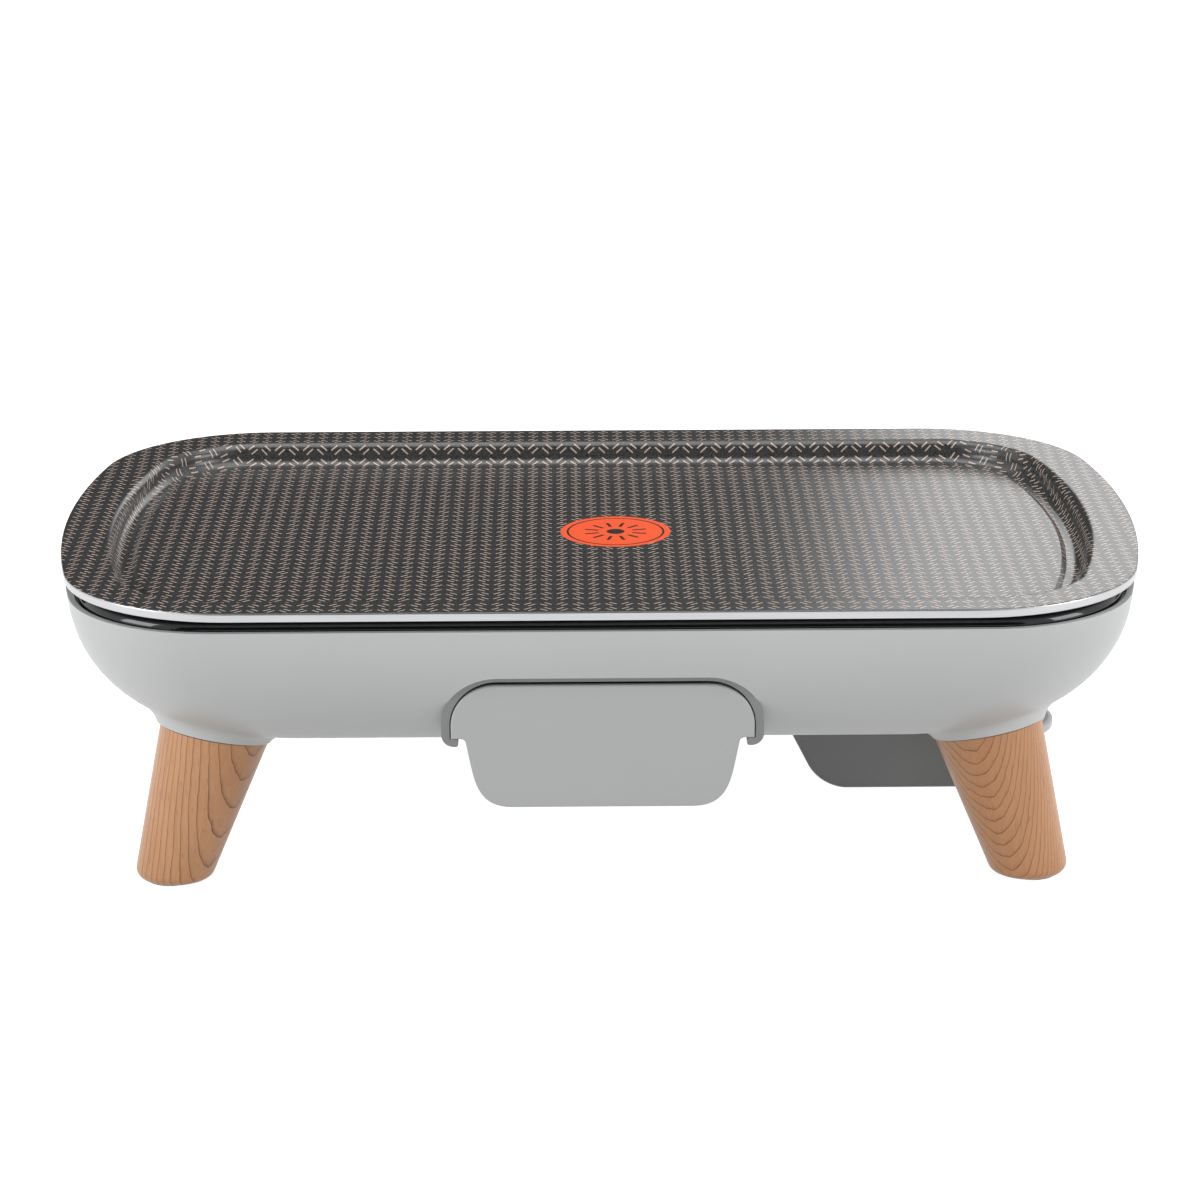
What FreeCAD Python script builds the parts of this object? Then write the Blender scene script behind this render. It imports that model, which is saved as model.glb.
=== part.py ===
import FreeCAD, Part
import math
import os

V = FreeCAD.Vector

# Table-top electric plancha. Millimetres, +Z up, the floor at z = 0, the drip drawer at the front (-Y),
# the length along X, the middle of the cooking plate at x = y = 0.

# Overall
plate_top = 158.0
plate_length = 540.0
plate_width = 339.0
plate_corner = 85.0
plate_end_arc = 532.0

# Cooking plate, cast aluminium
plate_edge = 4.4
plate_edge_round = 0.8
basin_end_inset = 25.6
basin_front_inset = 23.0
basin_rear_inset = 28.0
basin_corner = 53.0
basin_end_arc = 422.0
basin_depth = 9.5
lip_round = 5.0
wall_run = 6.0
gutter_depth = 1.5
gutter_width = 3.0
gutter_rise = 2.5
plate_floor = 5.0
under_slope = 11.0
under_reach = 4.0
pocket_half = 62.0
pocket_reach = 5.0
pocket_wall = 2.8
pocket_side_wall = 4.0
pocket_round = 6.0
drain_bore = 10.0
nozzle_wall = 4.0
nozzle_drop = 8.0
drain_inset = 33.0

# Body shell, moulded plastic bowl
plate_over_end = 1.4
plate_over_side = 1.5
plate_over_corner = 10.6
shell_length = plate_length - 2 * plate_over_end
shell_width = plate_width - 2 * plate_over_side
shell_corner = plate_corner - plate_over_corner
shell_end_arc = 533.0
rim_below_plate = 10.2
shell_wall = 3.0
bowl_depth = 71.2
bowl_end_inset = 67.3
bowl_side_inset = 62.0
bowl_corner_inset = 10.0
bowl_inset_power = 1.11
bowl_depth_power = 1.13
ledge_below_rim = 2.0
ledge_width = 4.6
ledge_height = 3.0

# Enamelled drip tray under the element
liner_sheet = 1.0
liner_edge_gap = 0.3
bead_height = 5.3
bead_reach = 7.0
liner_floor_above_bay = 0.5
liner_wall_lean = 1.8
liner_floor_round = 4.0

# Drawer and its bay
bay_half = 77.0
bay_top = plate_top - 35.0
bay_round = 27.0
bay_wall = 2.5
bay_back = -15.0
guide_wall = 4.0
guide_roof = 3.4
guide_hook = 8.0
guide_round = 6.0
guide_tip_round = 1.2
guide_end_gap = 3.0
guide_setback = 1.0
drawer_side_gap = 4.5
drawer_guide_gap = 3.6
drawer_taper = 2.2
drawer_keel_run = 20.2
drawer_keel_pull = 0.66
drawer_step_round = 2.5
drawer_edge_round = 1.0
drawer_half = bay_half - drawer_side_gap
drawer_waist_half = bay_half - guide_hook - drawer_guide_gap
drawer_keel_half = drawer_waist_half - drawer_taper
drawer_bottom_half = drawer_keel_half - drawer_keel_run
drawer_top = bay_top - 5.0
drawer_side_top = bay_top - 23.0
drawer_corner = bay_round - 5.5
drawer_step = bay_top - 33.3
drawer_keel_z = bay_top - 48.0
drawer_bottom = bay_top - 70.0
drawer_wall = 2.2
drawer_front_wall = 3.0
drawer_front_inset = 10.0
drawer_front_y = drawer_front_inset - shell_width / 2
drawer_front_lean = 9.0
drawer_hollow_start = 15.0
drawer_back = bay_back - 7.0
slide_gap = 0.3
guide_back = bay_back - guide_end_gap
guide_top = drawer_step - slide_gap
guide_low = guide_top - guide_wall

# Drain funnel between plate and drawer
funnel_gap = 2.0
funnel_wall = 1.2
funnel_flange = 2.0
funnel_bottom = drawer_top + 1.2
funnel_hole_gap = 0.4

# Legs, turned beech
leg_seam_x = shell_length / 2 - 78.2
leg_seam_y = shell_width / 2 - 73.0
leg_seam_z = plate_top - 82.5
leg_seam_tilt = 11.3
leg_seam_lift = 8.0
leg_lean_x = 17.0
leg_lean_y = 3.0
leg_top_radius = 26.8
leg_foot_radius = 18.3
leg_foot_round = 5.0
neck_radius = 27.2
neck_blend = 14.0
neck_height = 40.0
socket_floor = 4.0
socket_wall = 3.0
insert_radius = 4.5
insert_length = 16.0
insert_bore = 3.05
leg_screw_radius = 3.0
leg_screw_head = 5.5
leg_screw_head_height = 3.5
leg_screw_length = 18.0
pad_radius = 13.0
pad_height = 2.0
pad_proud = 0.8
fit_gap = 0.05
screw_hole_gap = 0.2

# Heating element, steel tube
element_radius = 3.5
element_below_plate = 0.3
element_outer_y = plate_width / 2 - 69.5
element_inner_y = 34.0
element_left_x = 100.0 - plate_length / 2
element_right_x = plate_length / 2 - 70.0
element_inner_x = element_right_x - 90.0
element_corner = 20.0
element_tail_bend = 10.0
terminal_y = 16.0
element_tail = plate_top - 44.0
terminal_pin_radius = 1.5
terminal_pin_length = 10.0
bush_radius = 7.0
bush_height = 6.0
bush_step = 2.0
bracket_inset = (60.0, 140.0)
bracket_x = (element_left_x + bracket_inset[0], element_right_x - bracket_inset[1])
bracket_sheet = 1.2
bracket_width = 14.0
bracket_foot = 10.0
post_x = plate_length / 2 - 48.0
post_y = plate_width / 2 - 109.5
post_radius = 6.0
post_foot_radius = 10.0
post_foot = 1.5
plate_gap = 0.3

# Control housing under the right end
box_middle = shell_length / 2 - 107.6
box_front = -32.0
box_back = shell_width / 2 - 108.0
box_bottom = plate_top - 138.3
box_wall = 2.5
box_round = 3.0
box_overlap = 8.0
box_shoulder = 70.0
box_bends = ((62.8, box_bottom + 28.5), (54.4, box_bottom + 12.0), (44.0, box_bottom + 2.3))
box_flat_half = 36.0
dial_x = box_middle + 42.0
dial_y = 4.0
dial_top = box_bottom + 27.8
dial_height = 4.7
dial_radius = 32.0
dial_hub_radius = 8.0
dial_hub_height = 4.0
dial_gap = 1.0
spindle_radius = 3.0
spindle_bore_gap = 0.05
thermostat_side = 30.0
thermostat_bottom = dial_top + 5.5
thermostat_height = 13.0
channel_sheet = 1.5
channel_foot = 6.0
box_screw_front = box_front + 12.0
box_screw_back = box_back - 12.0
post_screw_places = ((box_middle - 51.0, box_screw_front), (box_middle - 51.0, box_screw_back),
                     (box_middle + 4.0, box_screw_front - 1.0), (box_middle + 11.0, box_screw_back))
box_post_radius = 5.5
box_post_seat = box_bottom + 42.3
box_post_counterbore = 3.9
inlet_x = box_middle - 19.0
inlet_z = box_bottom + 27.3
inlet_width = 30.0
inlet_height = 22.0
inlet_depth = 24.0
inlet_flange = 2.0
inlet_socket_wall = 3.0
inlet_socket_depth = 16.0
pin_pitch = 7.0
pin_radius = 2.0
pin_length = 13.0
pin_tab = 6.0
pin_tail_radius = 1.6
lamp_y = 34.0
lamp_z = box_bottom + 42.3
lamp_radius = 4.0
lamp_tip = box_middle + 66.8
lamp_length = 12.0
lamp_dome = 1.5

# Fasteners and leads
boss_radius = 4.5
boss_x = element_right_x - 50.0
boss_places = ((-boss_x, -post_y), (-boss_x, post_y), (boss_x, -post_y), (boss_x, post_y))
screw_radius = 1.8
screw_head_radius = 3.8
screw_head_height = 2.4
screw_bite = 16.0
box_screw_bite = 9.0
guide_screw_y = (-125.0, -45.0)
guide_screw_rise = 4.6
guide_screw_radius = 1.4
guide_screw_head = 2.8
guide_sink = 1.5
lead_radius = 1.3
lead_bend = 13.5
lead_hole_x = box_middle - 11.0
lead_hole_y = 9.0
lead_hole_radius = 14.0
lead_riser = 8.0
neutral_run = 18.0
neutral_rise = 13.0
live_lead_rise = 28.0
fuse_lead_in = 2.0
fuse_radius = 2.6
fuse_length = 16.0
earth_stud_y = lead_hole_y - 7.0
earth_stud_radius = 2.0
earth_stud_length = 12.0
earth_nut_radius = 3.6
earth_nut_height = 3.0


class Outline:
    """Rounded oblong seen from above: straight sides, corner arcs and shallow end arcs, its middle at y = mid."""

    def __init__(self, length, width, corner, end_arc, mid=0.0):
        self.mid = mid
        self.half_width = width / 2
        self.corner = corner
        self.end_arc = end_arc
        self.end_x = length / 2 - end_arc
        across = self.half_width - corner
        self.corner_x = self.end_x + math.sqrt((end_arc - corner) ** 2 - across ** 2)
        self.corner_y = across
        self.swing = math.atan2(across, self.corner_x - self.end_x)

    def wire(self, inset, z):
        """The outline, drawn in by inset, from the middle of the front side."""
        side = self.half_width - inset
        small = self.corner - inset
        large = self.end_arc - inset
        front, rear = self.mid - side, self.mid + side

        def spot(sx, cx, cy, radius, angle):
            return V(sx * (cx + radius * math.cos(angle)), self.mid + cy + radius * math.sin(angle), z)

        def arc(sx, cx, cy, radius, a, b):
            ends = [spot(sx, cx, cy, radius, t) for t in (a, (a + b) / 2, b)]
            return Part.Arc(*ends).toShape()

        quarter = math.pi / 2
        edges = [Part.makeLine(V(0, front, z), V(self.corner_x, front, z))]
        edges.append(arc(1, self.corner_x, -self.corner_y, small, -quarter, -self.swing))
        edges.append(arc(1, self.end_x, 0, large, -self.swing, self.swing))
        edges.append(arc(1, self.corner_x, self.corner_y, small, self.swing, quarter))
        edges.append(Part.makeLine(V(self.corner_x, rear, z), V(-self.corner_x, rear, z)))
        edges.append(arc(-1, self.corner_x, self.corner_y, small, quarter, self.swing))
        edges.append(arc(-1, self.end_x, 0, large, self.swing, -self.swing))
        edges.append(arc(-1, self.corner_x, -self.corner_y, small, -self.swing, -quarter))
        edges.append(Part.makeLine(V(-self.corner_x, front, z), V(0, front, z)))
        return Part.Wire(edges)

    def slab(self, inset, low, high):
        return Part.Face(self.wire(inset, low)).extrude(V(0, 0, high - low))

    def ring(self, inset, start, *steps):
        """A section of (inset, z) steps, arcs as (mid inset, mid z, inset, z), carried round the outline."""
        front = self.mid - self.half_width
        first = V(0, front + start[0], start[1])
        here = first
        edges = []
        for step in steps:
            there = V(0, front + step[-2], step[-1])
            if len(step) == 4:
                edges.append(Part.Arc(here, V(0, front + step[0], step[1]), there).toShape())
            else:
                edges.append(Part.makeLine(here, there))
            here = there
        edges.append(Part.makeLine(here, first))
        pipe = Part.BRepOffsetAPI.MakePipeShell(self.wire(inset, start[1]))
        pipe.add(Part.Wire(edges))
        pipe.build()
        pipe.makeSolid()
        solid = pipe.shape()
        if solid.Volume < 0:
            solid.reverse()
        return solid


def box(x0, x1, y0, y1, z0, z1):
    return Part.makeBox(x1 - x0, y1 - y0, z1 - z0, V(x0, y0, z0))


def rod(radius, x, y, z0, z1):
    return Part.makeCylinder(radius, z1 - z0, V(x, y, z0))


def turned(points):
    """A solid of revolution about Z from (radius, z) points."""
    corners = [V(r, 0, z) for r, z in points]
    return Part.Face(Part.makePolygon(corners + corners[:1])).revolve(V(0, 0, 0), V(0, 0, 1), 360)


def union(first, *others):
    return first.fuse(list(others)).removeSplitter()


def solid(shape):
    """The shape as its one solid."""
    return shape.Solids[0] if len(shape.Solids) == 1 else shape


def group(pieces):
    return Part.makeCompound([s for piece in pieces for s in piece.Solids])


def screw(radius, length, head_radius, head_height, at, along):
    """A round-headed screw, its head's underside at the given place, its shank along a direction."""
    shank = Part.makeCylinder(radius, length, at, along)
    head = Part.makeCylinder(head_radius, head_height, at, along * -1)
    half_way = at - along * (head_height * 0.5)
    recess = Part.makeCylinder(head_radius * 0.35, head_height * 0.5, half_way, along * -1)
    return union(shank, head).cut(recess)


def tube_path(points, bend):
    """Straight runs joined by tangent arcs of one bend radius."""
    edges = []
    here = points[0]
    for before, corner, after in zip(points, points[1:], points[2:]):
        into = (corner - before).normalize()
        out = (after - corner).normalize()
        half = into.getAngle(out) / 2
        back = bend * math.tan(half)
        start = corner - into * back
        end = corner + out * back
        middle_dir = (out - into).normalize()
        reach = bend / math.cos(half) - bend
        if (start - here).Length > 1e-6:
            edges.append(Part.makeLine(here, start))
        edges.append(Part.Arc(start, corner + middle_dir * reach, end).toShape())
        here = end
    if (points[-1] - here).Length > 1e-6:
        edges.append(Part.makeLine(here, points[-1]))
    return Part.Wire(edges)


def round_tube(points, bend, radius, label):
    """A round solid along the path, with its volume held against section times length."""
    path = tube_path(points, bend)
    start = points[0]
    disc = Part.Wire([Part.makeCircle(radius, start, points[1] - start)])
    pipe = Part.BRepOffsetAPI.MakePipeShell(path)
    pipe.add(disc)
    pipe.build()
    pipe.makeSolid()
    result = pipe.shape()
    if result.Volume < 0:
        result.reverse()
    share = result.Volume / (math.pi * radius ** 2 * path.Length)
    print("%s length %.1f mm, bend %.1f mm, volume %.4f of expected" % (label, path.Length, bend, share))
    return result


# Outlines and levels that several pieces share
plate_outline = Outline(plate_length, plate_width, plate_corner, plate_end_arc)
basin_outline = Outline(plate_length - 2 * basin_end_inset, plate_width - basin_front_inset - basin_rear_inset,
                        basin_corner, basin_end_arc, (basin_front_inset - basin_rear_inset) / 2)
shell_outline = Outline(shell_length, shell_width, shell_corner, shell_end_arc)
shell_rim = plate_top - rim_below_plate
plate_under_edge = plate_top - plate_edge
cooking_floor = plate_top - basin_depth
plate_under_floor = cooking_floor - plate_floor
gutter_bottom = cooking_floor - gutter_depth
drain_y = -plate_width / 2 + drain_inset
shell_bottom = shell_rim - bowl_depth
shell_floor = shell_bottom + shell_wall
ledge_top = shell_rim - ledge_below_rim
liner_under_floor = bay_top + bay_wall + liner_floor_above_bay
liner_floor = liner_under_floor + liner_sheet
element_z = plate_under_floor - element_below_plate - element_radius
spindle_top = thermostat_bottom + 6.0
spindle_low = dial_top - dial_height - dial_hub_height - 2.5


def basin_cavity():
    """The basin: rounded lip, steep wall with a hollow foot, gutter and raised floor."""
    bend = math.sin(math.radians(45))
    lip_low = plate_top - lip_round
    gutter_end = wall_run + gutter_width
    inner = gutter_end + gutter_rise
    over = plate_top + 1
    wall = basin_outline.ring(
        inner,
        (-lip_round, plate_top),
        (lip_round * (bend - 1), plate_top + lip_round * (bend - 1), 0.0, lip_low),
        (wall_run * (1 - bend), gutter_bottom + (lip_low - gutter_bottom) * (1 - bend), wall_run, gutter_bottom),
        (gutter_end, gutter_bottom),
        (inner, cooking_floor),
        (inner, over),
        (-lip_round, over))
    return wall.fuse(basin_outline.slab(inner, cooking_floor, over))


def grill_plate():
    """Cast plate: rim, basin, a deeper underside below it, pour pocket and drain nozzle."""
    sheet = plate_outline.slab(0.0, plate_under_edge, plate_top)
    rims = [e for e in sheet.Edges if abs(e.tangentAt(e.FirstParameter).z) < 0.1]
    sheet = sheet.makeFillet(plate_edge_round, rims)
    inner = under_reach + 10
    under = basin_outline.ring(
        inner,
        (under_reach, plate_under_floor),
        (under_reach - under_slope, plate_under_edge),
        (inner, plate_under_edge),
        (inner, plate_under_floor))
    middle = basin_outline.slab(inner, plate_under_floor, plate_under_edge)
    basin_front = -plate_width / 2 + basin_front_inset
    pocket_front = basin_front - pocket_reach
    block = box(-pocket_half - pocket_side_wall, pocket_half + pocket_side_wall, pocket_front - pocket_wall,
                basin_front, plate_under_floor, plate_under_edge)
    nozzle = rod(drain_bore / 2 + nozzle_wall, 0, drain_y, plate_under_floor - nozzle_drop, plate_under_floor)
    pocket = box(-pocket_half, pocket_half, pocket_front, drain_y + 1.0, gutter_bottom, plate_top + 5)
    uprights = [e for e in pocket.Edges
                if abs(e.tangentAt(e.FirstParameter).z) > 0.99 and e.CenterOfMass.y < drain_y]
    pocket = pocket.makeFillet(pocket_round, uprights)
    bore = rod(drain_bore / 2, 0, drain_y, plate_under_floor - nozzle_drop - 1, cooking_floor)
    whole = union(sheet, under, middle, block, nozzle)
    return solid(whole.cut([basin_cavity(), pocket, bore]).removeSplitter())


def bowl_level(turn, skin):
    """The bowl's outline at an angle round its side, 0 at the rim and 90 at the bottom, a skin further in."""
    swing = math.radians(turn)
    inward = 1 - math.cos(swing) ** bowl_inset_power
    downward = math.sin(swing) ** bowl_depth_power
    inset_rate = bowl_inset_power * math.cos(swing) ** (bowl_inset_power - 1) * math.sin(swing)
    depth_rate = bowl_depth_power * math.sin(swing) ** (bowl_depth_power - 1) * math.cos(swing)
    along = (bowl_end_inset + bowl_side_inset) / 2 * inset_rate
    down = bowl_depth * depth_rate
    length = math.hypot(along, down) or 1.0
    across = skin * down / length
    end_in = bowl_end_inset * inward + across
    side_in = bowl_side_inset * inward + across
    level = Outline(shell_length - 2 * end_in, shell_width - 2 * side_in,
                    shell_corner - bowl_corner_inset * inward - across, shell_end_arc - end_in)
    return level.wire(0, shell_rim - bowl_depth * downward + skin * along / length)


def bowl_filled():
    """Everything inside the shell's outer face."""
    return Part.makeLoft([bowl_level(turn, 0.0) for turn in range(0, 91, 10)], True, False)


def arch(half, top, corner, y0, y1, bottom):
    """A prism along Y with an arched top, for the drawer's bay."""
    c = corner * (1 - math.cos(math.radians(45)))
    points = [V(-half, y0, bottom), V(-half, y0, top - corner), V(-half + corner, y0, top),
              V(half - corner, y0, top), V(half, y0, top - corner), V(half, y0, bottom)]
    edges = [Part.makeLine(points[0], points[1]),
             Part.Arc(points[1], V(-half + c, y0, top - c), points[2]).toShape(),
             Part.makeLine(points[2], points[3]),
             Part.Arc(points[3], V(half - c, y0, top - c), points[4]).toShape(),
             Part.makeLine(points[4], points[5]),
             Part.makeLine(points[5], points[0])]
    return Part.Face(Part.Wire(edges)).extrude(V(0, y1 - y0, 0))


def slope(degrees):
    return math.tan(math.radians(degrees))


def leg_places():
    """Name, seam centre, direction square to the seam and direction down the leg, of each leg."""
    places = []
    for sy, depth in ((-1, "front"), (1, "rear")):
        for sx, side in ((-1, "left"), (1, "right")):
            down = V(sx * slope(leg_lean_x), sy * slope(leg_lean_y), -1)
            square = V(sx * slope(leg_seam_tilt), sy * slope(leg_seam_lift), -1)
            seam = V(sx * leg_seam_x, sy * leg_seam_y, leg_seam_z)
            places.append((depth + "_" + side, seam, square.normalize(), down.normalize()))
    return places


def place_on_leg(shape, seam, down):
    """Move a shape made with the seam's centre at the origin and the leg along -Z onto a leg's line."""
    placed = shape.copy()
    placed.Placement = FreeCAD.Placement(seam, FreeCAD.Rotation(V(0, 0, -1), down))
    return placed


def neck_rod(radius, low, high, seam, square):
    """A rod square to a leg's seam, between two heights over the seam."""
    return place_on_leg(rod(radius, 0, 0, low, high), seam, square)


def bowl_with_necks(filled):
    """The filled bowl with a neck for each leg, blended in by a large round and cut off at the seam."""
    whole = filled
    for _, seam, square, _ in leg_places():
        whole = whole.fuse(neck_rod(neck_radius, -neck_blend * 2, neck_height, seam, square))
        creases = []
        for edge in whole.Edges:
            kinds = [face.Surface.TypeId for face in whole.ancestorsOfType(edge, Part.Face)]
            middle = edge.CenterOfMass
            near = middle.distanceToPoint(seam) < neck_radius * 2 and middle.z > seam.z - neck_blend
            if kinds.count("Part::GeomCylinder") == 1 and len(kinds) == 2 and near:
                creases.append(edge)
        whole = whole.makeFillet(neck_blend, creases)
        whole = whole.cut(neck_rod(neck_radius * 3, -neck_blend * 4, 0, seam, square))
    return whole


def base_shell(filled, necked):
    """Bowl with a ledge for the tray, an arched drawer bay, leg necks, screw bosses and a lead hole."""
    under_ledge = ledge_top - ledge_height
    turns = (4, 10, 20, 30, 40, 50, 60, 70, 80, 90)
    cavity = Part.makeLoft([bowl_level(turn, shell_wall) for turn in turns], True, False)
    below = box(-shell_length, shell_length, -shell_width, shell_width, shell_bottom, under_ledge)
    cavity = cavity.common(below)
    mouth = [shell_outline.slab(shell_wall + ledge_width, under_ledge, ledge_top),
             shell_outline.slab(shell_wall, ledge_top, shell_rim + 1)]
    wall = necked.cut([cavity] + mouth)
    deep = shell_bottom - 20
    reach = -shell_width
    bay = arch(bay_half + bay_wall, bay_top + bay_wall, bay_round + bay_wall, reach,
               bay_back + bay_wall, deep)
    whole = union(wall, bay.common(filled))
    for _, seam, square, _ in leg_places():
        whole = whole.cut([neck_rod(neck_radius - socket_wall, socket_floor, neck_height, seam, square),
                           neck_rod(leg_screw_radius + screw_hole_gap, -1, neck_height / 2, seam, square)])
    bosses = [rod(boss_radius, x, y, shell_floor, liner_under_floor) for x, y in boss_places]
    bosses += [rod(boss_radius, x, y, shell_floor, shell_floor + box_screw_bite)
               for x, y in post_screw_places]
    whole = union(whole, *bosses)
    holes = [arch(bay_half, bay_top, bay_round, reach, bay_back, deep)]
    holes += [rod(screw_radius + fit_gap, x, y, liner_under_floor - screw_bite, liner_under_floor + 1)
              for x, y in boss_places]
    holes += [rod(screw_radius + fit_gap, x, y, shell_bottom - 1, shell_floor + box_screw_bite - 1.5)
              for x, y in post_screw_places]
    across = bay_half + guide_wall
    level = guide_top + guide_screw_rise
    holes += [Part.makeCylinder(guide_screw_radius + fit_gap, 2 * across, V(-across, y, level), V(1, 0, 0))
              for y in guide_screw_y]
    holes.append(rod(lead_hole_radius, lead_hole_x, lead_hole_y, shell_bottom - 1, shell_floor + 1))
    holes.append(rod(funnel_radius() + funnel_hole_gap, 0, drain_y, bay_top - 1, bay_top + bay_wall + 1))
    return solid(whole.cut(holes).removeSplitter())


def drip_tray():
    """Black enamelled tray: flange on the shell's ledge, rolled bead, side wall and floor."""
    t = liner_sheet
    edge = shell_wall + liner_edge_gap
    flat = ledge_top + t
    crest = flat + bead_height
    rise = edge + 1.0
    fall = rise + bead_reach
    foot = fall + liner_wall_lean
    inner = foot + liner_floor_round
    r = liner_floor_round
    low_mid = (foot + r * 0.3, liner_floor + r * 0.3)
    ring = shell_outline.ring(
        inner,
        (edge, flat),
        (rise, flat),
        (rise + 0.9, flat + 3.3, rise + 4.0, crest),
        (fall - 1.0, crest - 1.0, fall, crest - 3.5),
        (foot, liner_floor + r),
        low_mid + (inner, liner_floor),
        (inner, liner_under_floor),
        (low_mid[0] - t * 0.7, low_mid[1] - t * 0.7, foot - t, liner_floor + r - 0.2),
        (fall - t, crest - 3.7),
        (fall - 1.0 - t * 0.8, crest - 1.0 - t * 0.7, rise + 4.0, crest - t),
        (rise + 0.9 + t * 0.8, flat + 3.3 - t * 0.5, rise + 0.8, ledge_top),
        (edge, ledge_top))
    floor = shell_outline.slab(inner, liner_under_floor, liner_floor)
    holes = [rod(screw_radius + 0.3, x, y, liner_under_floor - 1, liner_floor + 1) for x, y in boss_places]
    holes += [rod(bush_radius - bush_step + fit_gap, element_right_x, sy * terminal_y, liner_under_floor - 1,
                  liner_floor + 1) for sy in (-1, 1)]
    holes.append(rod(funnel_radius() + funnel_hole_gap, 0, drain_y, liner_under_floor - 1, liner_floor + 1))
    return solid(union(ring, floor).cut(holes).removeSplitter())


def funnel_radius():
    return drain_bore / 2 + nozzle_wall + funnel_gap + funnel_wall


def drain_funnel():
    """Steel tube with a flange on the tray's floor, which takes the fat from the nozzle to the drawer."""
    outer = funnel_radius()
    tube = rod(outer, 0, drain_y, funnel_bottom, liner_floor + 5.0)
    flange = rod(outer + funnel_flange, 0, drain_y, liner_floor, liner_floor + funnel_wall)
    bore = rod(outer - funnel_wall, 0, drain_y, funnel_bottom - 1, liner_floor + 6.0)
    return solid(union(tube, flange).cut(bore))


def heating_element():
    """Steel tube bent into two long loops, both tails going down through the tray."""
    half = (element_outer_y - element_inner_y) / 2
    right, left, inner = element_right_x, element_left_x, element_inner_x
    z = element_z
    c = element_corner
    s = c * (1 - math.cos(math.radians(45)))

    def run(a, b):
        return Part.makeLine(V(*a), V(*b))

    def bend(a, m, b):
        return Part.Arc(V(*a), V(*m), V(*b)).toShape()

    ye, yi, yt = element_outer_y, element_inner_y, terminal_y
    tail_bend = element_tail_bend
    k = tail_bend * (1 - math.cos(math.radians(45)))
    upper = [run((right, yt, element_tail), (right, yt, z - tail_bend)),
             bend((right, yt, z - tail_bend), (right, yt + k, z - k), (right, yt + tail_bend, z)),
             run((right, yt + tail_bend, z), (right, ye - c, z)),
             bend((right, ye - c, z), (right - s, ye - s, z), (right - c, ye, z)),
             run((right - c, ye, z), (left, ye, z)),
             bend((left, ye, z), (left - half, ye - half, z), (left, yi, z)),
             run((left, yi, z), (inner, yi, z))]
    turn = [bend((inner, yi, z), (inner + yi, 0, z), (inner, -yi, z))]
    lower = [run((inner, -yi, z), (left, -yi, z)),
             bend((left, -yi, z), (left - half, -ye + half, z), (left, -ye, z)),
             run((left, -ye, z), (right - c, -ye, z)),
             bend((right - c, -ye, z), (right - s, -ye + s, z), (right, -ye + c, z)),
             run((right, -ye + c, z), (right, -yt - tail_bend, z)),
             bend((right, -yt - tail_bend, z), (right, -yt - k, z - k), (right, -yt, z - tail_bend)),
             run((right, -yt, z - tail_bend), (right, -yt, element_tail))]
    path = Part.Wire(upper + turn + lower)
    disc = Part.Wire([Part.makeCircle(element_radius, V(right, yt, element_tail), V(0, 0, 1))])
    pipe = Part.BRepOffsetAPI.MakePipeShell(path)
    pipe.add(disc)
    pipe.build()
    pipe.makeSolid()
    tube = pipe.shape()
    if tube.Volume < 0:
        tube.reverse()
    share = tube.Volume / (math.pi * element_radius ** 2 * path.Length)
    print("heating element length %.1f mm, volume %.4f of expected" % (path.Length, share))
    return tube


def terminal_pins():
    low = element_tail - terminal_pin_length
    return group(rod(terminal_pin_radius, element_right_x, sy * terminal_y, low, element_tail)
                 for sy in (-1, 1))


def terminal_bushes():
    """Ceramic bushes, shouldered on the tray's floor, round the element's tails."""
    pieces = []
    for sy in (-1, 1):
        y = sy * terminal_y
        high = liner_floor + bush_step
        body = union(rod(bush_radius, element_right_x, y, liner_floor, high),
                     rod(bush_radius - bush_step, element_right_x, y, high - bush_height, high))
        pieces.append(body.cut(rod(element_radius + fit_gap, element_right_x, y, high - bush_height - 1, high + 1)))
    return group(pieces)


def element_brackets():
    """Folded clips riveted to the tray, each with a notch that the element lies in."""
    pieces = []
    for x in bracket_x:
        for y in (-element_outer_y, -element_inner_y, element_inner_y, element_outer_y):
            half = bracket_width / 2
            upright = box(x, x + bracket_sheet, y - half, y + half, liner_floor, element_z + 1.5)
            foot = box(x, x + bracket_foot, y - half, y + half, liner_floor, liner_floor + bracket_sheet)
            rivet = rod(2.0, x + bracket_foot * 0.6, y, liner_floor, liner_floor + bracket_sheet + 1.0)
            seat = element_radius + fit_gap
            notch = Part.makeCylinder(seat, bracket_foot, V(x - 1, y, element_z), V(1, 0, 0))
            throat = box(x - 1, x + bracket_foot, y - seat, y + seat, element_z, element_z + 10)
            pieces.append(union(upright, foot, rivet).cut([notch, throat]))
    return group(pieces)


def plate_supports():
    """Four steel posts on the tray that carry the plate."""
    pieces = []
    for sx in (-1, 1):
        for sy in (-1, 1):
            post = rod(post_radius, sx * post_x, sy * post_y, liner_floor, plate_under_floor - plate_gap)
            foot = rod(post_foot_radius, sx * post_x, sy * post_y, liner_floor, liner_floor + post_foot)
            pieces.append(union(post, foot))
    return group(pieces)


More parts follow.
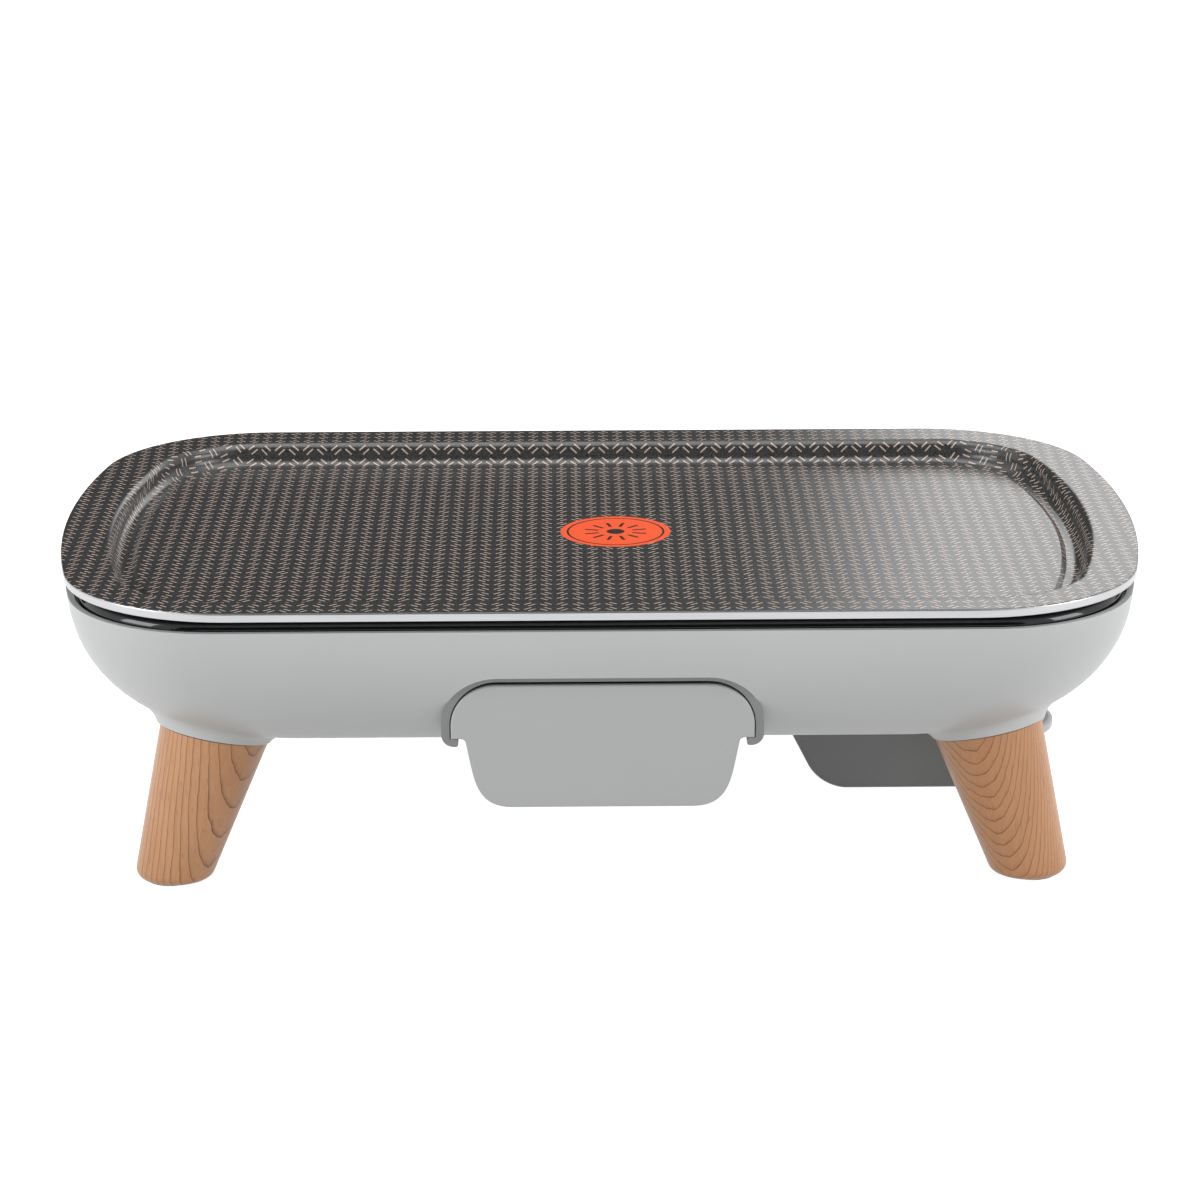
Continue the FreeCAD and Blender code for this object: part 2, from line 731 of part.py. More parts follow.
def drawer_profile(z_step, inset, y):
    """Cross-section of the drawer from above the step down to its rounded keel, drawn in by inset."""
    top_half = drawer_half - inset
    waist = drawer_waist_half - inset
    keel = drawer_keel_half - inset
    low_half = drawer_bottom_half - inset * 0.5
    low = drawer_bottom + inset
    r = drawer_step_round + inset
    near = r * (1 - math.cos(math.radians(45)))
    waist_low = z_step - r
    drop = (drawer_keel_z - low) * drawer_keel_pull
    side_in = (waist - keel) / (waist_low - drawer_keel_z) * drop
    flat = (keel - low_half) * drawer_keel_pull
    right = [V(top_half, y, drawer_side_top), V(top_half, y, z_step), V(waist + r, y, z_step),
             V(waist + near, y, z_step - near), V(waist, y, waist_low), V(keel, y, drawer_keel_z),
             V(keel - side_in, y, drawer_keel_z - drop), V(low_half + flat, y, low), V(low_half, y, low)]
    left = [V(-p.x, y, p.z) for p in right]
    edges = [Part.makeLine(left[0], right[0])]
    for p in (right, left):
        edges += [Part.makeLine(p[0], p[1]), Part.makeLine(p[1], p[2]), Part.Arc(p[2], p[3], p[4]).toShape(),
                  Part.makeLine(p[4], p[5])]
        keel_curve = Part.BezierCurve()
        keel_curve.setPoles(p[5:9])
        edges.append(keel_curve.toShape())
    edges.append(Part.makeLine(right[8], left[8]))
    return Part.Face(Part.Wire(Part.__sortEdges__(edges)))


def front_slab(start, end):
    """A slab that leans as the drawer's front does, from one distance behind that front to another."""
    high = bay_top + 5
    low = drawer_bottom - 5
    y_high = drawer_front_y - (high - drawer_top) * slope(drawer_front_lean)
    y_low = drawer_front_y + (drawer_top - low) * slope(drawer_front_lean)
    side = bay_half * 2
    points = [V(-side, y_high + start, high), V(-side, y_low + start, low), V(-side, y_low + end, low),
              V(-side, y_high + end, high)]
    return Part.Face(Part.makePolygon(points + points[:1])).extrude(V(2 * side, 0, 0))


def drip_drawer():
    """Moulded drawer: leaning front with rounded top corners, stepped sides that hang in the guide."""
    length = drawer_back - drawer_front_y
    ahead, past = drawer_front_y - 10, drawer_back + 10
    low = drawer_bottom - 5
    inner_half = drawer_half - drawer_wall
    outline = arch(drawer_half, drawer_top, drawer_corner, ahead, past, low)
    inner_outline = arch(inner_half, drawer_top, drawer_corner - drawer_wall, ahead, past, low)
    tray = drawer_profile(drawer_step, 0.0, ahead).extrude(V(0, drawer_back - ahead, 0)).common(outline)
    hollow_front = drawer_front_y + drawer_hollow_start
    hollow_back = drawer_back - drawer_wall
    hollow_face = drawer_profile(drawer_step + drawer_wall, drawer_wall, hollow_front)
    hollow = hollow_face.extrude(V(0, hollow_back - hollow_front, 0))
    top_hollow = box(-inner_half, inner_half, hollow_front, hollow_back, drawer_side_top - 1, drawer_side_top + 1)
    behind = front_slab(0.0, length + 40)
    front_wall = front_slab(0.0, drawer_front_wall)
    panel = arch(drawer_half, drawer_top, drawer_corner, ahead, hollow_front, drawer_step).common(front_wall)
    body = tray.common(behind).cut(union(hollow, top_hollow).common(inner_outline))
    inner_front = drawer_profile(drawer_step + drawer_wall, drawer_wall, ahead)
    front_hollow = inner_front.extrude(V(0, 40, 0)).cut(front_wall).common(behind).common(inner_outline)
    whole = union(body.cut(front_hollow), panel)
    lean = slope(drawer_front_lean)
    front = [e for e in whole.Edges
             if all(abs(v.Y - drawer_front_y - (drawer_top - v.Z) * lean) < 0.01 for v in e.Vertexes)]
    return solid(whole.makeFillet(drawer_edge_round, front))


def drawer_guide():
    """Inverted channel that lines the bay, its lower ends hooked in under the drawer's steps."""
    ahead, past = drawer_front_y - 10, guide_back + 1
    whole = arch(bay_half, bay_top, bay_round, ahead, guide_back, guide_low)
    inner_half = bay_half - guide_wall
    tip_half = bay_half - guide_hook
    corners = [e for e in whole.Edges
               if e.CenterOfMass.z < guide_low + 0.01 and abs(e.CenterOfMass.x) > bay_half - 0.01]
    whole = whole.makeFillet(guide_round, corners)
    hollow = arch(inner_half, bay_top - guide_roof, bay_round - guide_wall, ahead - 1, past, guide_top)
    whole = whole.cut([hollow, box(-tip_half, tip_half, ahead - 1, past, guide_low - 1, guide_top + 1)])
    tips = [e for e in whole.Edges
            if abs(abs(e.CenterOfMass.x) - tip_half) < 0.01 and abs(e.tangentAt(e.FirstParameter).y) > 0.99]
    whole = whole.makeFillet(guide_tip_round, tips).common(front_slab(guide_setback, guide_back - ahead))
    cuts = [rod(funnel_radius() + funnel_hole_gap, 0, drain_y, drawer_top, bay_top + 1)]
    level = guide_top + guide_screw_rise
    for side in (-1, 1):
        for y in guide_screw_y:
            start = V(side * (inner_half - 1), y, level)
            cuts.append(Part.makeCylinder(guide_screw_radius + fit_gap, guide_wall + 2, start, V(side, 0, 0)))
            cuts.append(Part.makeCylinder(guide_screw_head + fit_gap, guide_sink + 1, start, V(side, 0, 0)))
    return solid(whole.cut(cuts))


def guide_screws():
    """Flat-headed screws sunk in the guide's sides, which bite in the bay's wall."""
    pieces = []
    for side in (-1, 1):
        for y in guide_screw_y:
            start = V(side * (bay_half - guide_wall + 0.15), y, guide_top + guide_screw_rise)
            head = Part.makeCylinder(guide_screw_head, guide_sink - 0.2, start, V(side, 0, 0))
            shank = Part.makeCylinder(guide_screw_radius, guide_wall + bay_wall - 0.9, start, V(side, 0, 0))
            pieces.append(union(head, shank))
    return group(pieces)


def finished_leg(seam, square, down):
    """Turned, tapered leg, cut along the seam and level at the foot, with holes for its insert and pad."""
    run = leg_seam_z / -down.z
    taper = (leg_top_radius - leg_foot_radius) / run
    over = leg_top_radius
    blank = turned([(0, over), (leg_top_radius + taper * over, over),
                    (leg_foot_radius - taper * over, -run - over), (0, -run - over)])
    placed = place_on_leg(blank, seam, down)
    above = place_on_leg(rod(leg_top_radius * 2, 0, 0, 0, leg_top_radius * 3), seam, square)
    hole = place_on_leg(rod(insert_radius + fit_gap, 0, 0, -insert_length - 4.0, 1), seam, square)
    reach = leg_seam_z * 2
    below = box(seam.x - reach, seam.x + reach, seam.y - reach, seam.y + reach, -reach, pad_proud)
    placed = placed.cut([above, below])
    low = [e for e in placed.Edges if e.BoundBox.ZMax < pad_proud + 0.01]
    placed = placed.makeFillet(leg_foot_round, low)
    foot = foot_centre(seam, down)
    return solid(placed.cut([hole, rod(pad_radius + 0.1, foot.x, foot.y, pad_proud - 1, pad_height)]))


def foot_centre(seam, down):
    return seam + down * ((seam.z - pad_proud) / -down.z)


def control_profile(inset, top):
    """Boat-shaped section of the control housing in XZ."""
    (wide, wide_z), (knee, knee_z), (turn, turn_z) = box_bends
    low = box_bottom + inset
    middle = box_middle
    right = [V(middle + box_shoulder - inset, 0, top), V(middle + wide - inset, 0, wide_z),
             V(middle + knee - inset, 0, knee_z + inset * 0.4),
             V(middle + turn - inset * 0.7, 0, turn_z + inset * 0.8),
             V(middle + box_flat_half - inset * 0.4, 0, low)]
    left = [V(2 * middle - p.x, 0, p.z) for p in right]
    edges = [Part.makeLine(right[0], right[1]), Part.makeLine(right[1], right[2]),
             Part.Arc(right[2], right[3], right[4]).toShape(), Part.makeLine(right[4], left[4]),
             Part.Arc(left[4], left[3], left[2]).toShape(), Part.makeLine(left[2], left[1]),
             Part.makeLine(left[1], left[0]), Part.makeLine(left[0], right[0])]
    return Part.Face(Part.Wire(edges))


def control_housing(outside):
    """Boat-shaped cover under the shell's right end, with posts for its screws and a slot for the dial."""
    top = shell_bottom + box_overlap
    block = control_profile(0.0, top).extrude(V(0, box_back - box_front, 0))
    block.translate(V(0, box_front, 0))
    edges = [e for e in block.Edges
             if e.CenterOfMass.z < top - 1 and min(abs(e.CenterOfMass.y - y) for y in (box_front, box_back)) < 0.01]
    block = block.makeFillet(box_round, edges)
    hollow = control_profile(box_wall, top + 1).extrude(V(0, box_back - box_front - 2 * box_wall, 0))
    hollow.translate(V(0, box_front + box_wall, 0))
    cover = block.cut(hollow)
    posts = [rod(box_post_radius, x, y, box_bottom + 0.5, shell_bottom).common(block)
             for x, y in post_screw_places]
    cover = union(cover, *posts).cut(outside)
    cuts = [rod(box_post_counterbore, x, y, box_bottom - 1, box_post_seat) for x, y in post_screw_places]
    cuts += [rod(screw_radius + 0.2, x, y, box_post_seat - 1, shell_bottom + 1) for x, y in post_screw_places]
    dial_low = dial_top - dial_height
    cuts.append(rod(dial_radius + dial_gap, dial_x, dial_y, dial_low - dial_gap, dial_top + dial_gap))
    wide = inlet_width / 2 + fit_gap
    tall = inlet_height / 2 + fit_gap
    cuts.append(box(inlet_x - wide, inlet_x + wide, box_back - box_wall - 1, box_back + 1,
                    inlet_z - tall, inlet_z + tall))
    lamp_start = V(lamp_tip - lamp_length, lamp_y, lamp_z)
    cuts.append(Part.makeCylinder(lamp_radius + fit_gap, 20, lamp_start, V(1, 0, 0)))
    return solid(cover.cut(cuts).removeSplitter())


def control_dial():
    """Flat round dial on a hub, its rim softly rounded, a bore for the spindle."""
    disc = rod(dial_radius, dial_x, dial_y, dial_top - dial_height, dial_top)
    disc = disc.makeFillet(1.2, [e for e in disc.Edges if e.Curve.TypeId == "Part::GeomCircle"])
    disc_low = dial_top - dial_height
    hub = rod(dial_hub_radius, dial_x, dial_y, disc_low - dial_hub_height, disc_low)
    bore = rod(spindle_radius + spindle_bore_gap, dial_x, dial_y, spindle_low, dial_top + 1)
    return solid(union(disc, hub).cut(bore))


def dial_spindle():
    """Steel spindle from the thermostat down through the dial, with a head under the hub."""
    shaft = rod(spindle_radius, dial_x, dial_y, spindle_low, spindle_top)
    head = rod(spindle_radius + 2.0, dial_x, dial_y, spindle_low, spindle_low + 2.2)
    return solid(union(shaft, head))


def thermostat():
    half = thermostat_side / 2
    body = box(dial_x - half, dial_x + half, dial_y - half, dial_y + half, thermostat_bottom,
               thermostat_bottom + thermostat_height)
    neck = rod(6.0, dial_x, dial_y, thermostat_bottom - 4.5, thermostat_bottom)
    bore = rod(spindle_radius + spindle_bore_gap, dial_x, dial_y, thermostat_bottom - 6, spindle_top + 0.3)
    return solid(union(body, neck).cut(bore))


def thermostat_bracket():
    """Folded channel under the shell's floor, with two feet, that carries the thermostat."""
    half = thermostat_side / 2
    low = thermostat_bottom + thermostat_height
    t = channel_sheet
    x0, x1 = dial_x - half, dial_x + 10.0
    whole = box(x0, x1, dial_y - half, dial_y + half, low, low + t)
    for sy in (-1, 1):
        outer, inner, toe = (dial_y + sy * reach for reach in (half, half - t, half + channel_foot))
        side = box(x0, x1, min(outer, inner), max(outer, inner), low, shell_bottom)
        foot = box(x0, x1, min(toe, inner), max(toe, inner), shell_bottom - t, shell_bottom)
        whole = union(whole, side, foot)
    return solid(whole)


def power_inlet():
    """Moulded appliance inlet in the housing's rear wall, its socket open to the rear."""
    x0, x1 = inlet_x - inlet_width / 2, inlet_x + inlet_width / 2
    z0, z1 = inlet_z - inlet_height / 2, inlet_z + inlet_height / 2
    body = box(x0, x1, box_back - inlet_depth, box_back, z0, z1)
    flange = box(x0 - 2, x1 + 2, box_back, box_back + inlet_flange, z0 - 2, z1 + 2)
    w = inlet_socket_wall
    mouth = box_back + inlet_flange
    socket = box(x0 + w, x1 - w, mouth - inlet_socket_depth, mouth + 1, z0 + w, z1 - w)
    socket = socket.makeFillet(2.5, [e for e in socket.Edges if abs(e.tangentAt(e.FirstParameter).y) > 0.99])
    back = box_back - inlet_depth
    bores = [Part.makeCylinder(pin_radius + fit_gap, inlet_depth + 4,
                               V(inlet_x + i * pin_pitch, back - 1, inlet_z), V(0, 1, 0)) for i in (-1, 0, 1)]
    return solid(union(body, flange).cut([socket] + bores))


def inlet_pins():
    """Three brass pins in the inlet, each with a round tail for its lead."""
    back = box_back - inlet_depth
    tip = box_back + inlet_flange - inlet_socket_depth + pin_length
    pins = []
    for i in (-1, 0, 1):
        x = inlet_x + i * pin_pitch
        pin = Part.makeCylinder(pin_radius, tip - back, V(x, back, inlet_z), V(0, 1, 0))
        tail = Part.makeCylinder(pin_tail_radius, pin_tab, V(x, back - pin_tab, inlet_z), V(0, 1, 0))
        pins.append(union(pin, tail))
    return group(pins)


def indicator_lamp():
    """Clear lamp body with a domed lens in the housing's right wall."""
    start = V(lamp_tip - lamp_length, lamp_y, lamp_z)
    body = Part.makeCylinder(lamp_radius, lamp_length - lamp_dome, start, V(1, 0, 0))
    dome_start = V(lamp_tip - lamp_dome, lamp_y, lamp_z)
    dome = Part.makeCone(lamp_radius, lamp_radius * 0.55, lamp_dome, dome_start, V(1, 0, 0))
    return solid(union(body, dome))


def earth_stud():
    low = liner_under_floor - earth_stud_length
    stud = rod(earth_stud_radius, inlet_x, earth_stud_y, low, liner_under_floor)
    nut = rod(earth_nut_radius, inlet_x, earth_stud_y, liner_under_floor - earth_nut_height, liner_under_floor)
    return solid(union(stud, nut))


# Build
filled_bowl = bowl_filled()
necked_bowl = bowl_with_necks(filled_bowl)
nodes = {}
nodes["grill_plate"] = grill_plate()
nodes["base_shell"] = base_shell(filled_bowl, necked_bowl)
nodes["drip_tray"] = drip_tray()
nodes["drain_funnel"] = drain_funnel()
nodes["heating_element"] = heating_element()
nodes["terminal_pins"] = terminal_pins()
nodes["terminal_bushes"] = terminal_bushes()
nodes["element_brackets"] = element_brackets()
nodes["plate_supports"] = plate_supports()
nodes["drip_drawer"] = drip_drawer()
nodes["drawer_guide"] = drawer_guide()
nodes["guide_screws"] = guide_screws()
nodes["control_housing"] = control_housing(necked_bowl)
nodes["control_dial"] = control_dial()
nodes["dial_spindle"] = dial_spindle()
nodes["thermostat"] = thermostat()
nodes["thermostat_bracket"] = thermostat_bracket()
nodes["power_inlet"] = power_inlet()
nodes["inlet_pins"] = inlet_pins()
nodes["indicator_lamp"] = indicator_lamp()
nodes["earth_stud"] = earth_stud()

inserts = []
leg_screws = []
pads = []
for name, seam, square, down in leg_places():
    nodes["leg_" + name] = finished_leg(seam, square, down)
    tube = rod(insert_radius, 0, 0, -insert_length, -0.2).cut(rod(insert_bore, 0, 0, -insert_length - 1, 1))
    inserts.append(place_on_leg(tube, seam, square))
    bolt = screw(leg_screw_radius, leg_screw_length, leg_screw_head, leg_screw_head_height,
                 V(0, 0, socket_floor), V(0, 0, -1))
    leg_screws.append(place_on_leg(bolt, seam, square))
    foot = foot_centre(seam, down)
    pads.append(rod(pad_radius, foot.x, foot.y, 0, pad_height))
nodes["leg_inserts"] = group(inserts)
nodes["leg_screws"] = group(leg_screws)
nodes["foot_pads"] = group(pads)

nodes["tray_screws"] = group(screw(screw_radius, screw_bite - 1.0, screw_head_radius, screw_head_height,
                                   V(x, y, liner_floor), V(0, 0, -1)) for x, y in boss_places)
nodes["housing_screws"] = group(screw(screw_radius, shell_floor + box_screw_bite - 2.0 - box_post_seat,
                                      box_post_counterbore - 0.3, screw_head_height,
                                      V(x, y, box_post_seat), V(0, 0, 1)) for x, y in post_screw_places)

# Leads inside the housing and the shell
tab_y = box_back - inlet_depth - pin_tab
thermostat_left = dial_x - thermostat_side / 2
thermostat_tab_z = thermostat_bottom + thermostat_height / 2
live_y = dial_y - 9.0
link_y = dial_y + 4.0
neutral_x = inlet_x + pin_pitch
neutral_y = tab_y - neutral_run
neutral_z = shell_floor + neutral_rise
pin_low = element_tail - terminal_pin_length
link_z = pin_low - lead_bend - 0.5
live_x = inlet_x - pin_pitch
nodes["live_lead"] = round_tube([V(live_x, tab_y, inlet_z), V(live_x, live_y, inlet_z),
                                 V(live_x + live_lead_rise, live_y, thermostat_tab_z),
                                 V(thermostat_left, live_y, thermostat_tab_z)],
                                lead_bend, lead_radius, "live lead")
nodes["element_lead"] = round_tube([V(thermostat_left, link_y, thermostat_tab_z),
                                    V(lead_hole_x + lead_riser, link_y, thermostat_tab_z),
                                    V(lead_hole_x + lead_riser, link_y, link_z),
                                    V(element_right_x, -terminal_y, link_z),
                                    V(element_right_x, -terminal_y, pin_low)],
                                   lead_bend, lead_radius, "element lead")
nodes["earth_lead"] = round_tube([V(inlet_x, tab_y, inlet_z), V(inlet_x, earth_stud_y, inlet_z),
                                  V(inlet_x, earth_stud_y, liner_under_floor - earth_stud_length)],
                                 lead_bend, lead_radius, "earth lead")
fuse_from = V(neutral_x, neutral_y, neutral_z)
fuse_to = V(element_right_x, terminal_y, neutral_z)
toward = (fuse_to - fuse_from).normalize()
fuse_start = fuse_from + toward * (lead_bend + fuse_lead_in)
fuse_end = fuse_start + toward * fuse_length
nodes["neutral_lead"] = round_tube([V(neutral_x, tab_y, inlet_z), V(neutral_x, neutral_y, inlet_z),
                                    fuse_from, fuse_start],
                                   lead_bend, lead_radius, "neutral lead")
nodes["thermal_fuse"] = Part.makeCylinder(fuse_radius, fuse_length, fuse_start, toward)
nodes["fuse_lead"] = round_tube([fuse_end, fuse_to, V(element_right_x, terminal_y, pin_low)],
                                pin_low - neutral_z, lead_radius, "fuse lead")

os.makedirs("parts", exist_ok=True)
for name, shape in nodes.items():
    size = shape.BoundBox
    print("%-20s solids %d valid %s volume %.0f box %.1f %.1f %.1f to %.1f %.1f %.1f"
          % (name, len(shape.Solids), shape.isValid(), shape.Volume, size.XMin, size.YMin, size.ZMin,
             size.XMax, size.YMax, size.ZMax))
    shape.exportStep("parts/" + name + ".step")
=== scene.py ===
import math

import bmesh
import bpy
from mathutils import Matrix, Vector

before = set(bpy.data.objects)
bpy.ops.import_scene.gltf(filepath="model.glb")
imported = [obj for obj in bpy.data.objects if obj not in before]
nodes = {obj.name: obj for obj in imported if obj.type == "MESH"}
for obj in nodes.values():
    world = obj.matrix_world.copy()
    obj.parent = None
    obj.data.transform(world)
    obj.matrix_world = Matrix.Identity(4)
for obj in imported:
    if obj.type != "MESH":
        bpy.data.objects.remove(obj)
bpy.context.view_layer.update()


# Studio. A white sweep, soft lamps above, at both sides, low in front and behind at the right,
# and black cards that only reflections see, as a photographer hangs them to draw dark lines
# in shiny metal.

class Signal:
    """One output of a shader node, which takes part in arithmetic as a number does."""

    def __init__(self, finish, socket):
        self.finish = finish
        self.socket = socket

    def maths(self, operation, *values):
        return self.finish.node("ShaderNodeMath", {"operation": operation}, dict(enumerate(values)))

    def __add__(self, other):
        return self.maths("ADD", self, other)

    def __sub__(self, other):
        return self.maths("SUBTRACT", self, other)

    def __rsub__(self, other):
        return self.maths("SUBTRACT", other, self)

    def __mul__(self, other):
        return self.maths("MULTIPLY", self, other)

    def __truediv__(self, other):
        return self.maths("DIVIDE", self, other)

    def __pow__(self, other):
        return self.maths("POWER", self, other)

    def __mod__(self, other):
        return self.maths("FLOORED_MODULO", self, other)

    def __gt__(self, other):
        return self.maths("GREATER_THAN", self, other)

    def __lt__(self, other):
        return self.maths("LESS_THAN", self, other)

    def __abs__(self):
        return self.maths("ABSOLUTE", self)

    __radd__ = __add__
    __rmul__ = __mul__

    def most(self, other):
        return self.maths("MAXIMUM", self, other)

    def least(self, other):
        return self.maths("MINIMUM", self, other)

    def clipped(self):
        return self.most(0.0).least(1.0)


class Finish:
    """A procedural material, or the world's light, put together from expressions."""

    def __init__(self, name, tree=None):
        if tree is None:
            self.material = bpy.data.materials.new(name)
            self.material.use_nodes = True
            tree = self.material.node_tree
        self.tree = tree

    def node(self, kind, settings, inputs, output=0):
        made = self.tree.nodes.new(kind)
        for key, value in settings.items():
            setattr(made, key, value)
        self.feed(made, inputs)
        return Signal(self, made.outputs[output])

    def feed(self, made, inputs):
        for key, value in inputs.items():
            socket = made.inputs[key]
            if isinstance(value, Signal):
                self.tree.links.new(value.socket, socket)
            elif socket.type == "RGBA":
                socket.default_value = tuple(value) + (1.0,)
            else:
                socket.default_value = value

    def surface(self, inputs):
        """Sets the Principled shader's sockets and gives the material back."""
        self.feed(self.tree.nodes["Principled BSDF"], inputs)
        return self.material

    def place(self, stretch=(1, 1, 1)):
        """Object coordinates in metres, stretched along each axis."""
        spot = self.node("ShaderNodeTexCoord", {}, {}, "Object")
        return self.node("ShaderNodeVectorMath", {"operation": "MULTIPLY"}, {0: spot, 1: stretch})

    def axes(self, vector):
        split = self.node("ShaderNodeSeparateXYZ", {}, {0: vector}).socket.node
        return [Signal(self, socket) for socket in split.outputs]

    def noise(self, scale, detail=2.0, stretch=(1, 1, 1), roughness=0.5):
        return self.node("ShaderNodeTexNoise", {}, {"Vector": self.place(stretch), "Scale": scale,
                                                   "Detail": detail, "Roughness": roughness}, "Fac")

    def blend(self, share, first, second):
        return self.node("ShaderNodeMix", {"data_type": "RGBA"}, {0: share, 6: first, 7: second}, 2)

    def bump(self, height, depth, strength=1.0):
        """A relief whose full height is depth metres."""
        return self.node("ShaderNodeBump", {}, {"Height": height, "Distance": depth, "Strength": strength})


def flat_sheet(name, width, depth, turn, material):
    """A flat rectangle for the studio, placed by a matrix."""
    mesh = bpy.data.meshes.new(name)
    shape = bmesh.new()
    bmesh.ops.create_grid(shape, x_segments=1, y_segments=1, size=0.5)
    bmesh.ops.scale(shape, vec=(width, depth, 1), verts=shape.verts)
    bmesh.ops.transform(shape, matrix=turn, verts=shape.verts)
    shape.to_mesh(mesh)
    shape.free()
    mesh.materials.append(material)
    made = bpy.data.objects.new(name, mesh)
    bpy.context.scene.collection.objects.link(made)
    return made


def background_rays(finish):
    """1 for the rays that show the background: straight from the camera, mirrored or through glass."""
    path = finish.node("ShaderNodeLightPath", {}, {}, "Is Camera Ray").socket.node
    camera, glossy, clear = (Signal(finish, path.outputs[name]) for name in
                             ("Is Camera Ray", "Is Glossy Ray", "Is Transmission Ray"))
    return camera.most(glossy).most(clear)


sweep_albedo = 0.5
sweep_glow = 0.93
sweep = Finish("white_sweep")
glow_strength = background_rays(sweep) * sweep_glow
glow = sweep.node("ShaderNodeEmission", {}, {"Color": (1, 1, 1), "Strength": glow_strength})
paper = sweep.node("ShaderNodeBsdfDiffuse", {}, {"Color": (sweep_albedo,) * 3})
both = sweep.node("ShaderNodeAddShader", {}, {0: glow, 1: paper})
sweep.feed(sweep.tree.nodes["Material Output"], {"Surface": both})
sweep_side = 40.0
flat_sheet("studio_floor", sweep_side, sweep_side, Matrix.Identity(4), sweep.material)

black_card = Finish("black_card")
card_black = (0.012, 0.013, 0.015)
card_dark = black_card.node("ShaderNodeEmission", {}, {"Color": card_black, "Strength": 1.0})
black_card.feed(black_card.tree.nodes["Material Output"], {"Surface": card_dark})
card_places = (("card_rear_left", 3.2, 2.4, (-1.32, 2.3, 0.9), 90.0),
               ("card_rear_low", 3.2, 0.5, (1.65, 2.3, 0.25), 90.0),
               ("card_front", 3.4, 1.5, (0.0, -2.7, 1.15), 90.0),
               ("card_front_top", 1.6, 1.5, (0.0, -1.35, 1.75), 52.0))
for name, width, height, middle, tilt in card_places:
    upright = Matrix.Translation(middle) @ Matrix.Rotation(math.radians(tilt), 4, "X")
    card = flat_sheet(name, width, height, upright, black_card.material)
    card.visible_camera = False
    card.visible_diffuse = False
    card.visible_shadow = False
    card.visible_transmission = False

room = bpy.data.worlds.new("white_room")
room.use_nodes = True
bpy.context.scene.world = room
air = Finish("white_room", room.node_tree)
room_level = 0.42
air.feed(room.node_tree.nodes["Background"],
         {"Color": (1, 1, 1), "Strength": room_level + background_rays(air) * (1.0 - room_level)})

lamp_places = (("lamp_front_low", (0.0, -2.3, 0.36), (2.4, 0.6), 7.5),
               ("lamp_rear_right", (0.78, 2.2, 0.85), (0.9, 1.0), 3.1),
               ("lamp_above", (0.1, 0.15, 1.5), (1.8, 1.1), 17.0),
               ("lamp_left", (-1.85, -0.85, 0.9), (1.0, 1.0), 19.5),
               ("lamp_right", (1.85, -0.75, 0.85), (0.9, 0.9), 15.5))
lamp_target = Vector((0, 0, 0.09))
for name, middle, (wide, tall), watts in lamp_places:
    light = bpy.data.lights.new(name, "AREA")
    light.shape = "RECTANGLE"
    light.size = wide
    light.size_y = tall
    light.energy = watts
    lamp = bpy.data.objects.new(name, light)
    lamp.location = middle
    lamp.rotation_euler = (lamp_target - Vector(middle)).to_track_quat("-Z", "Y").to_euler()
    lamp.visible_glossy = name != "lamp_front_low"
    bpy.context.scene.collection.objects.link(lamp)

view_turn = -0.0101
view_rise = 0.29682
view_roll = -0.0034
view_distance = 1.85739
view_target = Vector((-0.00106, -0.15055, 0.158))
back = Vector((math.sin(view_turn) * math.cos(view_rise), -math.cos(view_turn) * math.cos(view_rise),
               math.sin(view_rise)))
right = Vector((math.cos(view_turn), math.sin(view_turn), 0))
up = back.cross(right)
turned_right = right * math.cos(view_roll) + up * math.sin(view_roll)
turned_up = up * math.cos(view_roll) - right * math.sin(view_roll)
lens = bpy.data.cameras.new("camera")
lens.sensor_width = 36.0
lens.lens = 117.885
lens.clip_start = 0.05
camera = bpy.data.objects.new("camera", lens)
camera.matrix_world = Matrix.Translation(view_target + back * view_distance) @ Matrix(
    (turned_right, turned_up, back)).transposed().to_4x4()
bpy.context.scene.collection.objects.link(camera)
bpy.context.scene.camera = camera
bpy.context.scene.view_settings.view_transform = "Standard"


# Body shell. The bowl is injection moulded in light grey plastic with a fine satin texture;
# the drawer's bay, the leg necks and the screw bosses are moulded in one with it.

def dress(name, material):
    """Gives a solid its finish in every material slot it has."""
    piece = nodes[name]
    for holder in piece.material_slots:
        holder.material = material


def moulded_plastic(name, light, dark, roughness):
    """Satin moulded plastic: fine spark texture, faint clouding and slightly varied gloss."""
    finish = Finish(name)
    grain = finish.noise(2600.0, 1.0)
    cloud = finish.noise(11.0, 3.0)
    gloss_swing = 0.08
    texture_depth = 0.00004
    return finish.surface({
        "Base Color": finish.blend(cloud, light, dark),
        "Roughness": cloud * gloss_swing + (roughness - gloss_swing / 2),
        "Normal": finish.bump(grain, texture_depth, 0.35)})


shell_plastic = moulded_plastic("shell_plastic", (0.555, 0.57, 0.567), (0.52, 0.534, 0.531), 0.42)
dress("base_shell", shell_plastic)


# Drawer guide. An arched channel that lines the bay and is sunk-screwed
# to its walls; the drawer hangs on its two hooked lower ends. Its grey is darkened as painted shade of the
# recess in the bay.

guide_plastic_painted_shade = moulded_plastic("guide_plastic_painted_shade", (0.25, 0.256, 0.25), (0.22, 0.226, 0.22), 0.4)
dress("drawer_guide", guide_plastic_painted_shade)


# Screws, studs and inserts. Zinc-plated steel with a rolled, slightly clouded surface,
# and turned brass in the legs and the inlet.

def bare_metal(name, light, dark, roughness, streak=(1, 1, 1)):
    """Metal with drawn or rolled streaks in its gloss, and clouds in its colour."""
    finish = Finish(name)
    relief = 0.00002
    streaks = finish.noise(900.0, 3.0, streak)
    cloud = finish.noise(60.0, 2.0)
    gloss_swing = 0.16
    return finish.surface({
        "Base Color": finish.blend(cloud, light, dark),
        "Metallic": 1.0,
        "Roughness": streaks * gloss_swing + (roughness - gloss_swing / 2),
        "Normal": finish.bump(streaks, relief, 0.4)})


